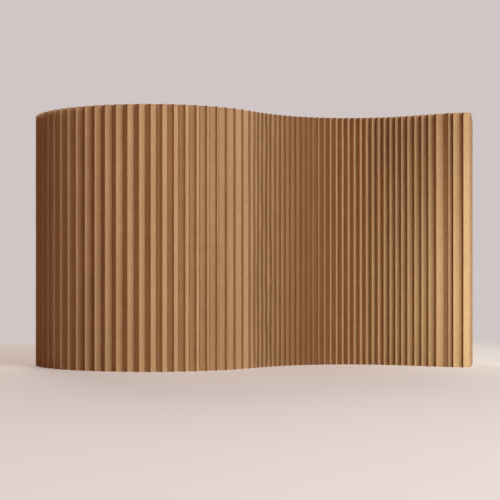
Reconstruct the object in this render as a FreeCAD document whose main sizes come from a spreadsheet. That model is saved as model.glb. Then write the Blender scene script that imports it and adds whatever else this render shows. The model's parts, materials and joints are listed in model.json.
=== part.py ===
# A free-standing paper room divider: a tall honeycomb wall of kraft paper that stands in an S curve.
# Each sheet runs the full height and zigzags through the wall's depth. Glue strips join it to the sheets on
# either side, at the even levels on one side and at the odd levels on the other, so the wall opens like a
# bellows. In plan the wall follows five tangent arcs: a tighter curl at the left end, a wide bulge, a valley, a
# nearly straight sweep and a slight flare at the right end.
# Stiff boards with hidden magnets close both ends.
# Millimetres, +Z up, +X to the right along the wall, +Y away from the front. The origin is under the middle.
import FreeCAD
import Part
import Sketcher
import math
import os

doc = FreeCAD.newDocument("paperRoomDivider")
sizes = doc.addObject("Spreadsheet::Sheet", "sizes")

drivingSizes = {
    "wallHeight": 1500,
    "wallDepth": 405,
    "rowCount": 9,
    "columnPitch": 47.2,
    "paperThickness": 0.3,
    "glueWidth": 10,
    "glueFilm": 0.2,
    "curlRadius": 453,
    "curlBlocks": 4,
    "bulgeRadius": 528,
    "bulgeBlocks": 11,
    "valleyRadius": 883,
    "valleyBlocks": 14,
    "sweepRadius": 4500,
    "sweepBlocks": 2,
    "flareRadius": 430,
    "flareBlocks": 2,
    "flarePitch": 38,
    "startHeading": -104.3,
    "boardThickness": 6,
    "boardEdgeRadius": 1.5,
    "magnetLength": 40,
    "magnetWidth": 12,
    "magnetThickness": 3,
    "magnetClearance": 0.2,
    "magnetInset": 45,
    "magnetRise": 120,
    "magnetRows": 4,
}
for row, (alias, number) in enumerate(drivingSizes.items(), start=1):
    sizes.set(f"A{row}", alias)
    sizes.set(f"B{row}", str(number))
    sizes.setAlias(f"B{row}", alias)
doc.recompute()


def size(alias):
    return float(sizes.get(alias))


def originFeature(body, role):
    return next(f for f in body.Origin.OriginFeatures if f.Role == role)


# Each arc has its own centre axis. Side 1 puts the front of the wall outside the arc, side -1 inside it.
# The columns stand closer in the flare, where the end board holds the cells less open.
arcs = [
    {"name": "curl", "radius": "curlRadius", "blocks": "curlBlocks", "pitch": "columnPitch", "side": 1},
    {"name": "bulge", "radius": "bulgeRadius", "blocks": "bulgeBlocks", "pitch": "columnPitch", "side": 1},
    {"name": "valley", "radius": "valleyRadius", "blocks": "valleyBlocks", "pitch": "columnPitch", "side": -1},
    {"name": "sweep", "radius": "sweepRadius", "blocks": "sweepBlocks", "pitch": "columnPitch", "side": -1},
    {"name": "flare", "radius": "flareRadius", "blocks": "flareBlocks", "pitch": "flarePitch", "side": 1},
]
heading = math.radians(size("startHeading"))
plan = FreeCAD.Vector(0, 0, 0)
for arc in arcs:
    radius = size(arc["radius"]) * arc["side"]
    turn = 2 * int(size(arc["blocks"])) * size(arc["pitch"]) / radius
    arc["centre"] = plan + FreeCAD.Vector(-math.sin(heading), math.cos(heading), 0) * radius
    arc["startAngle"] = math.degrees(heading) - 90 * arc["side"]
    heading += turn
    plan = arc["centre"] + FreeCAD.Vector(math.sin(heading), -math.cos(heading), 0) * radius
    arc["columnAngle"] = f"sizes.{arc['pitch']} / sizes.{arc['radius']} * 180 deg / pi"


# The distance of a glue strip's end from the arc's axis. Level 0 is the front, and end -1 is the strip's end
# that is nearer to the front. The strips at the front and back edges lie wholly inside the wall's depth.
def stripReach(arc, level, end):
    reach = f"sizes.wallDepth / 2 - {level} * sizes.wallDepth / sizes.rowCount"
    last = int(size("rowCount"))
    if level in (0, last):
        inner = (level == 0) == (end == 1)
        reach += f" - {end if inner else 0} * sizes.glueWidth"
    else:
        reach += f" - {end} * sizes.glueWidth / 2"
    return f"sizes.{arc['radius']} + {arc['side']} * ({reach})"


def crossing(a, b, c, d):
    along, other = b - a, d - c
    share = ((c - a).x * other.y - (c - a).y * other.x) / (along.x * other.y - along.y * other.x)
    return a + along * share


# Starting points of a sheet's two faces. Its strips lie in turn along the column's middle line, which is the
# sketch's X axis, and along the column's edge line. The slanted panels run between them.
def sheetFaces(arc, half):
    offset = (size("glueFilm") + size("paperThickness")) / 2
    middle = []
    for level in range(int(size("rowCount")) + 1):
        for end in (-1, 1):
            reach = float(sizes.evalExpression(stripReach(arc, level, end)))
            angle = half - math.asin(offset / reach) if level % 2 else math.asin(offset / reach)
            middle.append(FreeCAD.Vector(reach * math.cos(angle), reach * math.sin(angle), 0))
    faces = []
    for way in (-1, 1):
        lines = []
        for a, b in zip(middle, middle[1:]):
            along = (b - a) / (b - a).Length
            across = FreeCAD.Vector(-along.y, along.x, 0) * (-arc["side"] * way * size("paperThickness") / 2)
            lines.append((a + across, b + across))
        corners = [crossing(*one, *other) for one, other in zip(lines, lines[1:])]
        faces.append([lines[0][0]] + corners + [lines[-1][1]])
    return faces


def bindDistance(sketch, name, expression, *where):
    length = float(sizes.evalExpression(expression))
    index = sketch.addConstraint(Sketcher.Constraint("Distance", *where, length))
    sketch.renameConstraint(index, name)
    sketch.setExpression(f"Constraints.{name}", expression)


# The outline of one sheet, constrained from the sheet of sizes: lower face, end cap, upper face, end cap.
def drawSheet(sketch, arc):
    half = size(arc["pitch"]) / size(arc["radius"]) / 2
    lower, upper = sheetFaces(arc, half)
    corners = lower + upper[::-1]
    count = len(corners)
    faceLines = len(lower) - 1
    for index, corner in enumerate(corners):
        sketch.addGeometry(Part.LineSegment(corner, corners[(index + 1) % count]), False)
    far = FreeCAD.Vector(math.cos(half), math.sin(half), 0) * size(arc["radius"])
    edgeLine = sketch.addGeometry(Part.LineSegment(FreeCAD.Vector(0, 0, 0), far), True)
    joins = [Sketcher.Constraint("Coincident", i, 2, (i + 1) % count, 1) for i in range(count)]
    joins.append(Sketcher.Constraint("Coincident", edgeLine, 1, -1, 1))
    sketch.addConstraint(joins)
    bindDistance(sketch, "edgeLength", f"sizes.{arc['radius']}", edgeLine, 1, edgeLine, 2)
    angle = sketch.addConstraint(Sketcher.Constraint("Angle", -1, 1, edgeLine, 1, half))
    sketch.renameConstraint(angle, "halfColumn")
    sketch.setExpression("Constraints.halfColumn", arc["columnAngle"] + " / 2")
    for index in range(faceLines):
        mate = 2 * faceLines - index
        sketch.addConstraint(Sketcher.Constraint("Parallel", index, mate))
        bindDistance(sketch, f"paper{index}", "sizes.paperThickness", mate, 1, index)
    for level in range(int(size("rowCount")) + 1):
        strip = 2 * level
        onEdge = level % 2 == 1
        glued = 2 * faceLines - strip if onEdge else strip
        guide = edgeLine if onEdge else -1
        sketch.addConstraint(Sketcher.Constraint("Parallel", glued, guide))
        bindDistance(sketch, f"film{level}", "sizes.glueFilm / 2", glued, 1, guide)
        for end in (-1, 1):
            point = 1 if (end == -1) != onEdge else 2
            name = f"level{level}" + ("front" if end == -1 else "back")
            bindDistance(sketch, name, stripReach(arc, level, end), glued, point, -1, 1)
    sketch.addConstraint(Sketcher.Constraint("Perpendicular", 0, count - 1))
    sketch.addConstraint(Sketcher.Constraint("Perpendicular", faceLines - 1, faceLines))


# A block is two columns. The mirror gives a column its second sheet and the pattern gives the second column.
def makeBlock(arc, label):
    body = doc.addObject("PartDesign::Body", label)
    sketch = body.newObject("Sketcher::SketchObject", label + "Sheet")
    sketch.AttachmentSupport = [(originFeature(body, "XY_Plane"), "")]
    sketch.MapMode = "FlatFace"
    drawSheet(sketch, arc)
    pad = body.newObject("PartDesign::Pad", label + "Pad")
    pad.Profile = sketch
    pad.setExpression("Length", "sizes.wallHeight")
    doc.recompute()
    copies = body.newObject("PartDesign::MultiTransform", label + "Copies")
    copies.Originals = [pad]
    mirror = body.newObject("PartDesign::Mirrored", label + "Mirror")
    mirror.MirrorPlane = (originFeature(body, "XZ_Plane"), [""])
    columns = body.newObject("PartDesign::PolarPattern", label + "Columns")
    columns.Axis = (originFeature(body, "Z_Axis"), [""])
    columns.Mode = "Spacing"
    columns.Occurrences = 2
    columns.setExpression("Offset", arc["columnAngle"])
    copies.Transformations = [mirror, columns]
    body.Tip = copies
    return body


# Puts a piece on its arc: the arc's axis is the piece's origin, and the angle is counted in columns from the
# arc's start.
def placeOnArc(piece, arc, columns):
    piece.Placement = FreeCAD.Placement(arc["centre"], FreeCAD.Rotation(FreeCAD.Vector(0, 0, 1), 0))
    angle = f"{arc['startAngle']} deg + {arc['side']} * {columns} * {arc['columnAngle']}"
    piece.setExpression("Placement.Rotation.Angle", angle)


pieces = []
blockNumber = 0
for arc in arcs:
    first = None
    for index in range(int(size(arc["blocks"]))):
        blockNumber += 1
        label = f"block_{blockNumber:02d}_{arc['name']}"
        if first is None:
            first = makeBlock(arc, label)
            block = first
        else:
            block = doc.addObject("App::Link", label)
            block.LinkedObject = first
            block.Label = label
        placeOnArc(block, arc, 2 * index + (0.5 if arc["side"] == 1 else 1.5))
        pieces.append(block)


# Outlines of the lowest two magnet bars, or of their pockets with a margin all round. They stand the same
# distance in from the board's back and front edges.
def drawBars(sketch, arc, margin):
    back = f"sizes.{arc['radius']} - sizes.wallDepth / 2 + sizes.magnetInset"
    front = f"sizes.{arc['radius']} + sizes.wallDepth / 2 - sizes.wallDepth / sizes.rowCount"
    front += " + sizes.glueWidth / 2 - sizes.magnetInset"
    for bar, middle in enumerate((back, front)):
        sides = {
            "left": f"{middle} - sizes.magnetWidth / 2 - {margin}",
            "right": f"{middle} + sizes.magnetWidth / 2 + {margin}",
            "low": f"sizes.magnetRise - sizes.magnetLength / 2 - {margin}",
            "high": f"sizes.magnetRise + sizes.magnetLength / 2 + {margin}",
        }
        left, right, low, high = [float(sizes.evalExpression(e)) for e in sides.values()]
        corners = [(left, low), (right, low), (right, high), (left, high)]
        corners = [FreeCAD.Vector(x, z, 0) for x, z in corners]
        first = 4 * bar
        for index in range(4):
            sketch.addGeometry(Part.LineSegment(corners[index], corners[(index + 1) % 4]), False)
        for index in range(4):
            following = first + (index + 1) % 4
            sketch.addConstraint(Sketcher.Constraint("Coincident", first + index, 2, following, 1))
            level = "Vertical" if index % 2 else "Horizontal"
            sketch.addConstraint(Sketcher.Constraint(level, first + index))
        bindDistance(sketch, f"left{bar}", sides["left"], first, 1, -2)
        bindDistance(sketch, f"right{bar}", sides["right"], first, 2, -2)
        bindDistance(sketch, f"low{bar}", sides["low"], first, 1, -1)
        bindDistance(sketch, f"high{bar}", sides["high"], first + 2, 1, -1)


# An end board covers the outermost sheet from its first row of edge strips to the back of the wall.
# Blind pockets in its inner face hold two rows of bar magnets. Way -1 is the left end, way 1 the right end.
def makeBoard(label, arc, columns, way):
    radius = f"sizes.{arc['radius']}"
    body = doc.addObject("PartDesign::Body", label)
    sketch = body.newObject("Sketcher::SketchObject", label + "Outline")
    sketch.AttachmentSupport = [(originFeature(body, "XY_Plane"), "")]
    sketch.MapMode = "FlatFace"
    back = f"{radius} - sizes.wallDepth / 2"
    front = f"{radius} + sizes.wallDepth / 2 - sizes.wallDepth / sizes.rowCount + sizes.glueWidth / 2"
    backAt, frontAt = [float(sizes.evalExpression(e)) for e in (back, front)]
    face = size("glueFilm") / 2
    rear = face + size("boardThickness")
    outline = [(backAt, face), (frontAt, face), (frontAt, rear), (backAt, rear)]
    outline = [FreeCAD.Vector(x, y * way, 0) for x, y in outline]
    for index in range(4):
        sketch.addGeometry(Part.LineSegment(outline[index], outline[(index + 1) % 4]), False)
    sketch.addConstraint([Sketcher.Constraint("Coincident", i, 2, (i + 1) % 4, 1) for i in range(4)])
    sketch.addConstraint([Sketcher.Constraint("Horizontal", 0), Sketcher.Constraint("Horizontal", 2)])
    sketch.addConstraint([Sketcher.Constraint("Vertical", 1), Sketcher.Constraint("Vertical", 3)])
    bindDistance(sketch, "film", "sizes.glueFilm / 2", 0, 1, -1)
    bindDistance(sketch, "thickness", "sizes.boardThickness", 2, 1, 0)
    bindDistance(sketch, "back", back, 0, 1, -2)
    bindDistance(sketch, "front", front, 0, 2, -2)
    pad = body.newObject("PartDesign::Pad", label + "Pad")
    pad.Profile = sketch
    pad.setExpression("Length", "sizes.wallHeight")
    doc.recompute()
    uprights = []
    for number, edge in enumerate(pad.Shape.Edges, start=1):
        ends = [v.Point for v in edge.Vertexes]
        if abs((ends[1] - ends[0]).z) > 1 and abs(abs(ends[0].y) - rear) < 1e-4:
            uprights.append(f"Edge{number}")
    rounding = body.newObject("PartDesign::Fillet", label + "Edges")
    rounding.Base = (pad, uprights)
    rounding.setExpression("Radius", "sizes.boardEdgeRadius")
    doc.recompute()
    solidBoard = rounding.Shape.Volume
    pockets = body.newObject("Sketcher::SketchObject", label + "Pockets")
    pockets.AttachmentSupport = [(originFeature(body, "XZ_Plane"), "")]
    pockets.MapMode = "FlatFace"
    pockets.AttachmentOffset = FreeCAD.Placement(FreeCAD.Vector(0, 0, -way * face), FreeCAD.Rotation())
    pockets.setExpression("AttachmentOffset.Base.z", f"{-way} * sizes.glueFilm / 2")
    drawBars(pockets, arc, "sizes.magnetClearance")
    cut = body.newObject("PartDesign::Pocket", label + "Cut")
    cut.Profile = pockets
    cut.Reversed = way == -1
    cut.setExpression("Length", "sizes.magnetThickness + sizes.magnetClearance")
    doc.recompute()
    rows = body.newObject("PartDesign::LinearPattern", label + "Rows")
    rows.Originals = [cut]
    rows.Direction = (originFeature(body, "Z_Axis"), [""])
    rows.setExpression("Length", "sizes.wallHeight - 2 * sizes.magnetRise")
    rows.setExpression("Occurrences", "sizes.magnetRows")
    body.Tip = rows
    doc.recompute()
    room = 2 * size("magnetClearance")
    pocketArea = (size("magnetWidth") + room) * (size("magnetLength") + room)
    removed = pocketArea * (size("magnetThickness") + size("magnetClearance")) * 2 * size("magnetRows")
    if abs(solidBoard - body.Shape.Volume - removed) > 0.01 * removed:
        raise ValueError(label + " magnet pockets cut the wrong volume")
    placeOnArc(body, arc, columns)
    return body


# The bars lie in their pockets, clear of the walls by the clearance and level with the board's inner face.
def makeMagnets(label, arc, columns, way):
    body = doc.addObject("PartDesign::Body", label)
    sketch = body.newObject("Sketcher::SketchObject", label + "Bars")
    sketch.AttachmentSupport = [(originFeature(body, "XZ_Plane"), "")]
    sketch.MapMode = "FlatFace"
    sketch.setExpression("AttachmentOffset.Base.z", f"{-way} * sizes.glueFilm / 2")
    drawBars(sketch, arc, "0")
    pad = body.newObject("PartDesign::Pad", label + "Pad")
    pad.Profile = sketch
    pad.Reversed = way == 1
    pad.setExpression("Length", "sizes.magnetThickness")
    doc.recompute()
    rows = body.newObject("PartDesign::LinearPattern", label + "Rows")
    rows.Originals = [pad]
    rows.Direction = (originFeature(body, "Z_Axis"), [""])
    rows.setExpression("Length", "sizes.wallHeight - 2 * sizes.magnetRise")
    rows.setExpression("Occurrences", "sizes.magnetRows")
    body.Tip = rows
    placeOnArc(body, arc, columns)
    return body


lastColumns = 2 * int(size(arcs[-1]["blocks"]))
pieces.append(makeBoard("end_board_left", arcs[0], 0, -1))
pieces.append(makeMagnets("magnets_left", arcs[0], 0, -1))
pieces.append(makeBoard("end_board_right", arcs[-1], lastColumns, 1))
pieces.append(makeMagnets("magnets_right", arcs[-1], lastColumns, 1))
doc.recompute()

# The origin goes under the middle of the whole wall.
outer = FreeCAD.BoundBox()
for piece in pieces:
    outer.add(Part.getShape(piece).BoundBox)
shift = FreeCAD.Vector(outer.Center.x, outer.Center.y, 0)
for piece in pieces:
    piece.Placement.Base = piece.Placement.Base - shift
doc.recompute()

failed = [o.Name for o in doc.Objects if "Invalid" in o.State or "Error" in o.State]
if failed:
    raise ValueError(f"objects that failed: {failed}")
shapes = {piece.Label: Part.getShape(piece) for piece in pieces}
for label, shape in shapes.items():
    if shape.isNull() or not shape.isValid():
        raise ValueError(f"{label} has no valid shape")

os.makedirs("parts", exist_ok=True)
for label, shape in shapes.items():
    shape.exportStep(f"parts/{label}.step")
for arc in arcs:
    axis = arc["centre"] - shift
    print(f"{arc['name']} axis {axis.x:.6f} {axis.y:.6f} start {arc['startAngle']:.6f}")
print(f"{len(shapes)} pieces, {sum(len(s.Solids) for s in shapes.values())} solids")
print(f"overall {outer.XLength:.1f} x {outer.YLength:.1f} x {outer.ZLength:.1f} mm")
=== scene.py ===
import bmesh
import bpy
import json
import math
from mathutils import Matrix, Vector, noise

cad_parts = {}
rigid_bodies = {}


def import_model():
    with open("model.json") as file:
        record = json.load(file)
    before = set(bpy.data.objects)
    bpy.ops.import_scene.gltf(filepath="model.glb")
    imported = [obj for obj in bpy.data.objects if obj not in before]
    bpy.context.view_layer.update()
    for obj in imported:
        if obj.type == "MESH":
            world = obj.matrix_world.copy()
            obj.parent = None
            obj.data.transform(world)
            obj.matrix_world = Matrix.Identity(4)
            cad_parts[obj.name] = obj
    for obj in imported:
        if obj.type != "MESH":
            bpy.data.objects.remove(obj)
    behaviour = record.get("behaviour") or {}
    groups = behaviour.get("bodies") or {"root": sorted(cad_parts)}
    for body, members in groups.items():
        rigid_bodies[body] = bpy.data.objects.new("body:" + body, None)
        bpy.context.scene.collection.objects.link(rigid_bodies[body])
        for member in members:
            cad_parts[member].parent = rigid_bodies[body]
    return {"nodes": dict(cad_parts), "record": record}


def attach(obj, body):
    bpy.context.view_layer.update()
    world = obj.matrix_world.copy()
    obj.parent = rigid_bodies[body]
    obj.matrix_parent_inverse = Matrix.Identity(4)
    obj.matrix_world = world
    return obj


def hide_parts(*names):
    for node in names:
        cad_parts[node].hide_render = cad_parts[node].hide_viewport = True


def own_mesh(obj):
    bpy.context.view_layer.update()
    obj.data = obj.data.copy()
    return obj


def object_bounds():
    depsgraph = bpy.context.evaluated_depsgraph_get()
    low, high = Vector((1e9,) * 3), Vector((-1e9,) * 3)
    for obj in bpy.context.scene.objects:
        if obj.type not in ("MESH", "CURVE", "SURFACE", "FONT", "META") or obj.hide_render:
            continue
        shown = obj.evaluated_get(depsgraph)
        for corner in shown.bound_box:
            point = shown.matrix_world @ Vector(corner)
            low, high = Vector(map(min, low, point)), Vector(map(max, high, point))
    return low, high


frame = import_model()
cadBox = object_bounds()
joints = frame["record"]["behaviour"]["joints"]
print("frame loaded,", len(frame["nodes"]), "nodes")

mm = 0.001


def linear(hexColour):
    channels = [int(hexColour[i:i + 2], 16) / 255 for i in (1, 3, 5)]
    return [c / 12.92 if c <= 0.04045 else ((c + 0.055) / 1.055) ** 2.4 for c in channels] + [1.0]


# adds a node, sets its properties, inputs and any (position, hex) stops, and links inputs given as sockets
def addNode(tree, kind, inputs=None, stops=(), **settings):
    node = tree.nodes.new(kind)
    for name, value in settings.items():
        setattr(node, name, value)
    for index, (position, hexColour) in enumerate(stops):
        marks = node.color_ramp.elements
        mark = marks[index] if index < len(marks) else marks.new(position)
        mark.position = position
        mark.color = linear(hexColour)
    for name, value in (inputs or {}).items():
        if isinstance(value, bpy.types.NodeSocket):
            tree.links.new(value, node.inputs[name])
        else:
            node.inputs[name].default_value = value
    return node


def newMaterial(name):
    material = bpy.data.materials.new(name)
    material.use_nodes = True
    material.node_tree.nodes.clear()
    return material, material.node_tree


# Unbleached kraft paper, machine made: matt, warm brown, cloudy where the pulp is uneven, with long fibres
# along the sheet's height. Its front and back edges are painted paler: partly rubbed wear, partly a painted
# highlight where those edges catch the light.
kraftPaper = {
    "clouds": [(0.30, "#b68d63"), (0.52, "#bf966b"), (0.75, "#c79f75")],
    "cloudSize": 60 * mm,
    "cloudDetail": 4.0,
    "cloudRoughness": 0.55,
    "sheetSize": 700 * mm,     # one tone drifts into another over about a sheet
    "sheetDetail": 1.0,
    "sheetShare": 0.5,
    "fibreDark": "#a17a52",
    "fibreWidth": 5 * mm,      # real fibres are under 1 mm wide, and are drawn wider to show
    "fibreLength": 90 * mm,
    "fibreDetail": 3.0,
    "fibreRoughness": 0.6,
    "fibreFrom": 0.52,
    "fibreFull": 0.75,
    "fibreShare": 0.22,
    # the paler front and back edges: rubbed wear and a painted highlight together
    "rubbedAndHighlit": "#cfab86",
    "rubAndHighlightShare": 0.45,
    "roughness": 0.86,
    "ior": 1.45,
    "specular": 0.25,
    "bump": 0.15,
    "bumpDepth": 0.3 * mm,
    "sheetStart": 1.37,        # how far on each sheet starts in the paper's pattern, in metres
}


def kraftMaterial(look):
    material, tree = newMaterial("unbleachedKraftPaper")
    paper = addNode(tree, "ShaderNodeUVMap", uv_map="paper").outputs["UV"]
    clouds = addNode(tree, "ShaderNodeTexNoise",
                     {"Vector": paper, "Scale": 1 / look["cloudSize"], "Detail": look["cloudDetail"],
                      "Roughness": look["cloudRoughness"]})
    sheetTone = addNode(tree, "ShaderNodeTexNoise",
                        {"Vector": paper, "Scale": 1 / look["sheetSize"], "Detail": look["sheetDetail"]})
    tones = addNode(tree, "ShaderNodeMix",
                    {"Factor": look["sheetShare"], "A": clouds.outputs["Fac"],
                     "B": sheetTone.outputs["Fac"]})
    base = addNode(tree, "ShaderNodeValToRGB", {"Fac": tones.outputs["Result"]}, look["clouds"])
    along = addNode(tree, "ShaderNodeMapping",
                    {"Vector": paper, "Scale": (1 / look["fibreWidth"], 1 / look["fibreLength"], 1)})
    fibres = addNode(tree, "ShaderNodeTexNoise",
                     {"Vector": along.outputs["Vector"], "Scale": 1.0, "Detail": look["fibreDetail"],
                      "Roughness": look["fibreRoughness"]})
    fibreMask = addNode(tree, "ShaderNodeMapRange",
                        {"Value": fibres.outputs["Fac"], "From Min": look["fibreFrom"],
                         "From Max": look["fibreFull"], "To Max": look["fibreShare"]})
    fibred = addNode(tree, "ShaderNodeMix",
                     {"Factor": fibreMask.outputs["Result"], "A": base.outputs["Color"],
                      "B": linear(look["fibreDark"])},
                     data_type="RGBA")
    # front and back edges painted paler, both as rubbed wear and as a painted highlight
    rubbedAndHighlit = addNode(tree, "ShaderNodeAttribute", attribute_name="rubbedAndHighlit")
    paleEdgeShare = addNode(tree, "ShaderNodeMath", {0: rubbedAndHighlit.outputs["Fac"], 1: look["rubAndHighlightShare"]},
                  operation="MULTIPLY")
    wornAndHighlit = addNode(tree, "ShaderNodeMix",
                   {"Factor": paleEdgeShare.outputs["Value"], "A": fibred.outputs["Result"],
                    "B": linear(look["rubbedAndHighlit"])},
                   data_type="RGBA")
    bump = addNode(tree, "ShaderNodeBump",
                   {"Height": fibres.outputs["Fac"], "Strength": look["bump"],
                    "Distance": look["bumpDepth"]})
    shader = addNode(tree, "ShaderNodeBsdfPrincipled",
                     {"Base Color": wornAndHighlit.outputs["Result"], "Roughness": look["roughness"],
                      "IOR": look["ior"], "Specular IOR Level": look["specular"],
                      "Normal": bump.outputs["Normal"]})
    addNode(tree, "ShaderNodeOutputMaterial", {"Surface": shader.outputs["BSDF"]})
    return material


# Fibreboard faced with the same kraft paper: a little darker and smoother than the loose sheets.
endBoard = {
    "tones": [(0.3, "#a67c54"), (0.7, "#b98f66")],
    "cloudSize": 45 * mm,
    "cloudDetail": 5.0,
    "fibreWidth": 4 * mm,
    "fibreLength": 120 * mm,
    "fibreDetail": 3.0,
    "roughness": 0.72,
    "specular": 0.3,
    "bump": 0.12,
    "bumpDepth": 0.3 * mm,
}


def boardMaterial(look):
    material, tree = newMaterial("kraftFacedBoard")
    place = addNode(tree, "ShaderNodeTexCoord").outputs["Object"]
    clouds = addNode(tree, "ShaderNodeTexNoise",
                     {"Vector": place, "Scale": 1 / look["cloudSize"], "Detail": look["cloudDetail"]})
    base = addNode(tree, "ShaderNodeValToRGB", {"Fac": clouds.outputs["Fac"]}, look["tones"])
    across = 1 / look["fibreWidth"]
    along = addNode(tree, "ShaderNodeMapping",
                    {"Vector": place, "Scale": (across, across, 1 / look["fibreLength"])})
    fibres = addNode(tree, "ShaderNodeTexNoise",
                     {"Vector": along.outputs["Vector"], "Scale": 1.0, "Detail": look["fibreDetail"]})
    bump = addNode(tree, "ShaderNodeBump",
                   {"Height": fibres.outputs["Fac"], "Strength": look["bump"],
                    "Distance": look["bumpDepth"]})
    shader = addNode(tree, "ShaderNodeBsdfPrincipled",
                     {"Base Color": base.outputs["Color"], "Roughness": look["roughness"],
                      "Specular IOR Level": look["specular"], "Normal": bump.outputs["Normal"]})
    addNode(tree, "ShaderNodeOutputMaterial", {"Surface": shader.outputs["BSDF"]})
    return material


# Pressed ferrite bar magnets: dark grey, fine grained, satin where they were ground.
ferrite = {
    "tones": [(0.35, "#2b2b2d"), (0.65, "#3b3b3d")],
    "grainSize": 2 * mm,
    "grainDetail": 4.0,
    "roughness": 0.5,
    "bump": 0.2,
    "bumpDepth": 0.1 * mm,
}


def ferriteMaterial(look):
    material, tree = newMaterial("pressedFerrite")
    place = addNode(tree, "ShaderNodeTexCoord").outputs["Object"]
    grain = addNode(tree, "ShaderNodeTexNoise",
                    {"Vector": place, "Scale": 1 / look["grainSize"], "Detail": look["grainDetail"]})
    base = addNode(tree, "ShaderNodeValToRGB", {"Fac": grain.outputs["Fac"]}, look["tones"])
    bump = addNode(tree, "ShaderNodeBump",
                   {"Height": grain.outputs["Fac"], "Strength": look["bump"],
                    "Distance": look["bumpDepth"]})
    shader = addNode(tree, "ShaderNodeBsdfPrincipled",
                     {"Base Color": base.outputs["Color"], "Roughness": look["roughness"],
                      "Normal": bump.outputs["Normal"]})
    addNode(tree, "ShaderNodeOutputMaterial", {"Surface": shader.outputs["BSDF"]})
    return material


kraft = kraftMaterial(kraftPaper)
board = boardMaterial(endBoard)
magnet = ferriteMaterial(ferrite)
print("materials ready")


# The wall's plan: five tangent arcs from the left end. Side 1 has the front outside the arc, side -1 inside.
# A line is a place along the wall where sheets are glued: two lines to a column, counted from the left end.
wall = {
    "height": cadBox[1][2],
    "depth": 405 * mm,
    "rows": 9,
    "paper": 0.3 * mm,
    "glueWidth": 10 * mm,
    "glueFilm": 0.2 * mm,
    "arcs": {
        "curl": {"radius": 453 * mm, "pitch": 47.2 * mm, "side": 1},
        "bulge": {"radius": 528 * mm, "pitch": 47.2 * mm, "side": 1},
        "valley": {"radius": 883 * mm, "pitch": 47.2 * mm, "side": -1},
        "sweep": {"radius": 4500 * mm, "pitch": 47.2 * mm, "side": -1},
        "flare": {"radius": 430 * mm, "pitch": 38 * mm, "side": 1},
    },
    "startHeading": math.radians(-104.3),
    "blockColumns": 2,
    "blockLines": 4,
    "folded": 0.02,          # a block's share of its width when the wall is folded flat
}
lastLine = wall["blockLines"] * len(joints)


# one entry for each block: its node, body and joint, its arc's axis and the angle where it starts
def listBlocks(plan):
    blocks = []
    heading = plan["startHeading"]
    for number, joint in enumerate(joints):
        node = joint["deforming_nodes"][0]["node"]
        arc = plan["arcs"][node.split("_")[-1]]
        side, column = arc["side"], arc["pitch"] / arc["radius"]
        blocks.append({
            "number": number, "node": node, "body": joint["parent"], "joint": joint["name"],
            "centre": Vector(joint["pos_m"]), "radius": arc["radius"], "side": side,
            "angle": heading - side * math.pi / 2, "column": column,
            "firstLine": plan["blockLines"] * number,
        })
        heading += side * plan["blockColumns"] * column
    return blocks


# where a point of the wall lies, with its depth measured from the front, and which way the wall runs there
def wallPoint(plan, block, line, depth, shift):
    halves = line - block["firstLine"]
    angle = block["angle"] + block["side"] * halves * block["column"] / 2
    out = Vector((math.cos(angle), math.sin(angle), 0))
    onward = Vector((-math.sin(angle), math.cos(angle), 0)) * block["side"]
    reach = block["radius"] + block["side"] * (plan["depth"] / 2 - depth)
    flat = Vector((block["centre"].x, block["centre"].y, 0))
    return flat + out * reach + onward * shift, onward


# Hand-opened paper is never quite straight: each glued line wanders a little, and each panel bows a little.
# It wanders most where the curve turns over and at the left turn, where the pleats stand closest.
drift = {
    "along": 0.2 * mm,       # how far a glued line strays along the wall
    "inward": 1.0 * mm,      # how far a front or back edge strays through the depth
    "length": 150 * mm,      # the height over which it strays once
    "bow": 0.4 * mm,         # how far a panel's middle bows
    "lineStep": 3.713,       # how far apart in the noise two lines draw, and where the first one does
    "lineStart": 0.37,
    "levelStep": 5.171,      # the same for levels
    "levelStart": 0.59,
    "edgeLine": 0.5,         # edges and bows draw from between the lines and the levels
    "bowLine": 0.25,
    "bowLevel": 0.5,
    "finRun": 6 * mm,        # how far a fin's two sheets still lie side by side past their glue
    "finBend": 0.04,         # the share of a panel that bends at a front or back fin, nearly a crease
    "faceBend": 0.42,        # the same at that panel's other end, where the paper curves softly
    "innerBend": 0.40,       # the same at both ends of an inner panel
    "outerCuts": 5,          # cuts in a bend of a panel at the front or the back
    "innerCuts": 2,          # cuts in a bend of an inner panel
    "crease": 0.12,          # edges that turn by more than this, in radians, are shaded as creases
    "restless": [(66, 6, 24.0), (15, 7, 8.0)],   # line, reach in lines, how much more it strays there
    # a few glued lines near the right end are pulled aside, as (line, level from the front): how far
    "pulled": {
        (126, 1): 7 * mm, (127, 0): 17.5 * mm, (127, 2): 5 * mm, (128, 1): 8 * mm, (129, 0): -9.5 * mm,
        (129, 2): -3 * mm, (130, 1): 13 * mm, (130, 3): 4 * mm, (131, 0): -6 * mm,
    },
    "rings": 24,             # steps up the height of a sheet
}


def straying(line, level, height):
    return noise.noise(Vector((line * drift["lineStep"] + drift["lineStart"],
                               level * drift["levelStep"] + drift["levelStart"],
                               height / drift["length"])))


def restlessness(line):
    return 1 + sum(more * math.exp(-((line - at) / reach) ** 2) for at, reach, more in drift["restless"])


# the shares that bend at the front and the back end of the panel behind a glue strip
def panelEnds(plan, strip):
    if strip["level"] == 0:
        return drift["finBend"], drift["faceBend"]
    if strip["level"] == plan["rows"] - 1:
        return drift["faceBend"], drift["finBend"]
    return drift["innerBend"], drift["innerBend"]


# how far along the wall a panel has come at a share of its depth: bent at both ends and straight between
def panelBend(share, first, last):
    slope = 1 / (1 - (first + last) / 2)
    if share < first:
        return slope * share * share / (2 * first)
    if share > 1 - last:
        return 1 - slope * (1 - share) ** 2 / (2 * last)
    return slope * (share - first / 2)


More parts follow.
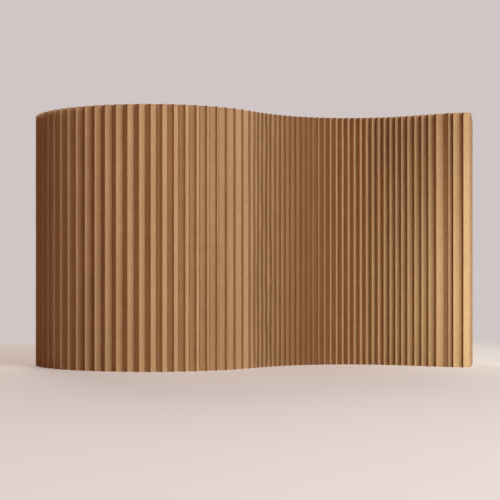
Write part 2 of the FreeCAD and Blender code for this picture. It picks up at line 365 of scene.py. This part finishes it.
# One sheet's course from front to back, as (glue strip here, next strip, depth, share of the way to it).
# Between two glue strips the paper isn't creased, it bends: it leaves one and meets the next straight.
def sheetCourse(plan, middleLine, away):
    step = plan["depth"] / plan["rows"]
    offset = (plan["glueFilm"] + plan["paper"]) / 2
    strips = []
    for level in range(plan["rows"] + 1):
        onEdge = level % 2 == 1
        front = min(max(level * step - plan["glueWidth"] / 2, 0), plan["depth"] - plan["glueWidth"])
        strips.append({
            "line": middleLine + away if onEdge else middleLine,
            "level": level,
            "shift": -away * offset if onEdge else away * offset,
            "front": front - (drift["finRun"] if level == plan["rows"] else 0),
            "back": front + plan["glueWidth"] + (drift["finRun"] if level == 0 else 0),
        })
    course = []
    for strip, following in zip(strips, strips[1:] + [None]):
        course += [(strip, strip, strip["front"], 0.0), (strip, strip, strip["back"], 0.0)]
        if following is None:
            break
        first, last = panelEnds(plan, strip)
        outer = strip["level"] in (0, plan["rows"] - 1)
        cuts = drift["outerCuts"] if outer else drift["innerCuts"]
        steps = [cut / cuts for cut in range(1, cuts + 1)]
        deep = following["front"] - strip["back"]
        for share in [first * s for s in steps] + [1 - last * s for s in reversed(steps)]:
            course.append((strip, following, strip["back"] + share * deep, share))
    return course


# places one point of a sheet's course at a height, with its lines' straying and its panel's bow
def sheetPoint(plan, block, stage, sheetNumber, height):
    here, there, depth, share = stage
    bend = panelBend(share, *panelEnds(plan, here))
    along, inward = 0.0, 0.0
    for strip, part in ((here, 1 - bend), (there, bend)):
        line, level = strip["line"], strip["level"]
        if part and line not in (0, lastLine):
            strays = restlessness(line) * drift["along"] * straying(line, level, height)
            along += part * (strays + drift["pulled"].get((line, level), 0.0))
            if level in (0, plan["rows"]):
                inward += part * drift["inward"] * straying(line + drift["edgeLine"], level, height)
    if share:
        bows = straying(sheetNumber + drift["bowLine"], here["level"] + drift["bowLevel"], height)
        along += drift["bow"] * math.sin(math.pi * share) * bows
    line = here["line"] + bend * (there["line"] - here["line"])
    shift = here["shift"] + bend * (there["shift"] - here["shift"])
    spot = wallPoint(plan, block, line, depth + inward, shift + along)[0]
    return Vector((spot.x, spot.y, height))


# one sheet as a surface without thickness: its course at the foot, extruded ring by ring to the top
def makeSheet(bm, plan, block, sheetNumber, middleLine, away):
    course = sheetCourse(plan, middleLine, away)
    place = bm.verts.layers.int["place"]
    rubbedAndHighlit = bm.verts.layers.float["rubbedAndHighlit"]
    run = bm.verts.layers.float["run"]
    row, distance = [], 0.0
    for index, stage in enumerate(course):
        vert = bm.verts.new(sheetPoint(plan, block, stage, sheetNumber, 0.0))
        distance += (vert.co - row[-1].co).length if row else 0.0
        vert[place] = index
        # front and back edges get 1 here; the material paints them paler there, rubbed wear plus a painted
        # highlight
        vert[rubbedAndHighlit] = 1.0 if index in (0, len(course) - 1) else 0.0
        vert[run] = distance
        row.append(vert)
    edges = [bm.edges.new(pair) for pair in zip(row, row[1:])]
    faces = []
    rise = plan["height"] / drift["rings"]
    for ring in range(1, drift["rings"] + 1):
        grown = bmesh.ops.extrude_edge_only(bm, edges=edges)["geom"]
        faces += [g for g in grown if isinstance(g, bmesh.types.BMFace)]
        new = {g for g in grown if isinstance(g, bmesh.types.BMVert)}
        edges = [g for g in grown if isinstance(g, bmesh.types.BMEdge) and set(g.verts) <= new]
        for vert in new:
            vert.co = sheetPoint(plan, block, course[vert[place]], sheetNumber, ring * rise)
    return faces


# a block's four sheets: two columns, each with a sheet on either side of its middle line
def paperBlock(plan, block):
    bm = bmesh.new()
    bm.verts.layers.int.new("place")
    bm.verts.layers.float.new("rubbedAndHighlit")
    bm.verts.layers.float.new("run")
    uv = bm.loops.layers.uv.new("paper")
    run = bm.verts.layers.float["run"]
    for column in range(plan["blockColumns"]):
        middleLine = block["firstLine"] + 2 * column + 1
        for away in (-1, 1):
            sheetNumber = middleLine - (1 if away < 0 else 0)
            for face in makeSheet(bm, plan, block, sheetNumber, middleLine, away):
                for loop in face.loops:
                    start = kraftPaper["sheetStart"] * sheetNumber
                    loop[uv].uv = (loop.vert[run] + start, loop.vert.co.z)
    bmesh.ops.recalc_face_normals(bm, faces=bm.faces)
    bm.normal_update()
    for vert in bm.verts:
        vert.co += vert.normal * plan["paper"] / 2
    bmesh.ops.solidify(bm, geom=bm.faces[:], thickness=plan["paper"])
    bm.normal_update()
    for face in bm.faces:
        face.smooth = True
    for edge in bm.edges:
        edge.smooth = edge.calc_face_angle(0.0) < drift["crease"]
    bm.verts.layers.int.remove(bm.verts.layers.int["place"])
    bm.verts.layers.float.remove(bm.verts.layers.float["run"])
    mesh = bpy.data.meshes.new(f"paper_block_{block['number'] + 1:02d}")
    bm.to_mesh(mesh)
    bm.free()
    piece = bpy.data.objects.new(mesh.name, mesh)
    bpy.context.scene.collection.objects.link(piece)
    mesh.materials.append(kraft)
    return piece


blocks = listBlocks(wall)
for block in blocks:
    piece = paperBlock(wall, block)
    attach(piece, block["body"])
    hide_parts(block["node"])
    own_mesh(piece)
print(len(blocks), "paper blocks")

for node, item in (("end_board_left", board), ("end_board_right", board),
                   ("magnets_left", magnet), ("magnets_right", magnet)):
    for slot in frame["nodes"][node].material_slots:
        slot.material = item
print("end boards and magnets dressed")


# A plain pale studio floor that fades into the backdrop's colour. Lengths are in metres.
studio = {
    "floor": "#ede2dc",
    "floorRoughness": 0.8,
    "floorGlow": 0.28,
    "floorSize": 14.0,
    "fadeMiddle": (0.0, -1.3, 0.0),
    "fadeStart": 3.4,
    "fadeEnd": 5.4,
    "backdrop": "#d0c6c6",
    "worldLight": "#ffd0b0",
    "worldStrength": 0.04,
}


# 1 for what the camera sees straight, in gloss or through glass, and 0 for light that the object gets
def seenRays(tree):
    path = addNode(tree, "ShaderNodeLightPath")
    seen = path.outputs["Is Camera Ray"]
    for ray in ("Is Glossy Ray", "Is Transmission Ray"):
        both = addNode(tree, "ShaderNodeMath", {0: seen, 1: path.outputs[ray]}, operation="MAXIMUM")
        seen = both.outputs["Value"]
    return seen


def studioFloor(look):
    bm = bmesh.new()
    bmesh.ops.create_grid(bm, x_segments=1, y_segments=1, size=look["floorSize"])
    mesh = bpy.data.meshes.new("studioFloor")
    bm.to_mesh(mesh)
    bm.free()
    floor = bpy.data.objects.new("studioFloor", mesh)
    bpy.context.scene.collection.objects.link(floor)
    material, tree = newMaterial("paleFloor")
    place = addNode(tree, "ShaderNodeTexCoord").outputs["Object"]
    away = addNode(tree, "ShaderNodeVectorMath", {0: place, 1: look["fadeMiddle"]}, operation="DISTANCE")
    fade = addNode(tree, "ShaderNodeMapRange",
                   {"Value": away.outputs["Value"], "From Min": look["fadeStart"],
                    "From Max": look["fadeEnd"]},
                   interpolation_type="SMOOTHSTEP")
    rays = seenRays(tree)
    seen = addNode(tree, "ShaderNodeMath", {0: rays, 1: fade.outputs["Result"]}, operation="MULTIPLY")
    glow = addNode(tree, "ShaderNodeMath", {0: rays, 1: look["floorGlow"]}, operation="MULTIPLY")
    ground = addNode(tree, "ShaderNodeBsdfPrincipled",
                     {"Base Color": linear(look["floor"]), "Roughness": look["floorRoughness"],
                      "Emission Color": linear(look["floor"]), "Emission Strength": glow.outputs["Value"]})
    far = addNode(tree, "ShaderNodeEmission", {"Color": linear(look["backdrop"]), "Strength": 1.0})
    mixed = addNode(tree, "ShaderNodeMixShader",
                    {0: seen.outputs["Value"], 1: ground.outputs["BSDF"], 2: far.outputs["Emission"]})
    addNode(tree, "ShaderNodeOutputMaterial", {"Surface": mixed.outputs["Shader"]})
    mesh.materials.append(material)


def studioWorld(look):
    world = bpy.data.worlds.new("studio")
    bpy.context.scene.world = world
    world.use_nodes = True
    tree = world.node_tree
    tree.nodes.clear()
    light = addNode(tree, "ShaderNodeBackground",
                    {"Color": linear(look["worldLight"]), "Strength": look["worldStrength"]})
    seen = addNode(tree, "ShaderNodeBackground", {"Color": linear(look["backdrop"]), "Strength": 1.0})
    mixed = addNode(tree, "ShaderNodeMixShader",
                    {0: seenRays(tree), 1: light.outputs["Background"], 2: seen.outputs["Background"]})
    addNode(tree, "ShaderNodeOutputWorld", {"Surface": mixed.outputs["Shader"]})


# Azimuth is counted from the camera's side towards the right, both angles as seen from the aim.
# The narrow card brightens the right end of the wall.
wallMiddle = (0, 0, wall["height"] / 2)
lamps = {
    "softKey": {"azimuth": 42, "elevation": 15, "distance": 11.0, "size": 7.0, "power": 1120,
                "colour": "#f2faff", "aim": wallMiddle, "spread": 180},
    "warmFill": {"azimuth": -40, "elevation": 20, "distance": 11.0, "size": 6.0, "power": 140,
                 "colour": "#ffb892", "aim": wallMiddle, "spread": 180},
    "backFill": {"azimuth": 195, "elevation": 35, "distance": 9.0, "size": 5.0, "power": 260,
                 "colour": "#fff4ea", "aim": wallMiddle, "spread": 180},
    "rightCard": {"azimuth": 5, "elevation": 12, "distance": 4.0, "size": 1.2, "power": 5,
                  "colour": "#e8fff8", "aim": (1.75, -0.4, 0.45), "spread": 24},
}


def studioLamp(name, lamp):
    data = bpy.data.lights.new(name, "AREA")
    data.size = lamp["size"]
    data.energy = lamp["power"]
    data.color = linear(lamp["colour"])[:3]
    data.spread = math.radians(lamp["spread"])
    light = bpy.data.objects.new(name, data)
    turn, rise = math.radians(lamp["azimuth"]), math.radians(lamp["elevation"])
    way = Vector((math.sin(turn) * math.cos(rise), -math.cos(turn) * math.cos(rise), math.sin(rise)))
    light.location = Vector(lamp["aim"]) + way * lamp["distance"]
    light.rotation_euler = way.to_track_quat("Z", "Y").to_euler()
    bpy.context.scene.collection.objects.link(light)


studioFloor(studio)
studioWorld(studio)
for name, lamp in lamps.items():
    studioLamp(name, lamp)
print("studio ready")


# The photograph's camera: level, about a third of the wall's height up, looking along +Y.
photoCamera = {
    "across": -35.8 * mm,
    "back": -7596.8 * mm,
    "height": 520.4 * mm,
    "focalPixels": 1270,
    "horizonPixel": 278.98,
    "imagePixels": 500,
    "sensor": 36.0,
    "farClip": 100.0,
}


def addCamera(view):
    data = bpy.data.cameras.new("photoCamera")
    data.sensor_width = view["sensor"]
    data.lens = view["sensor"] * view["focalPixels"] / view["imagePixels"]
    data.shift_y = (view["horizonPixel"] - view["imagePixels"] / 2) / view["imagePixels"]
    data.clip_end = view["farClip"]
    camera = bpy.data.objects.new("photoCamera", data)
    camera.location = (view["across"], view["back"], view["height"])
    camera.rotation_euler = (math.radians(90), 0, 0)
    bpy.context.scene.collection.objects.link(camera)
    bpy.context.scene.camera = camera


addCamera(photoCamera)
bpy.context.scene.view_settings.view_transform = "Standard"
print("camera ready")
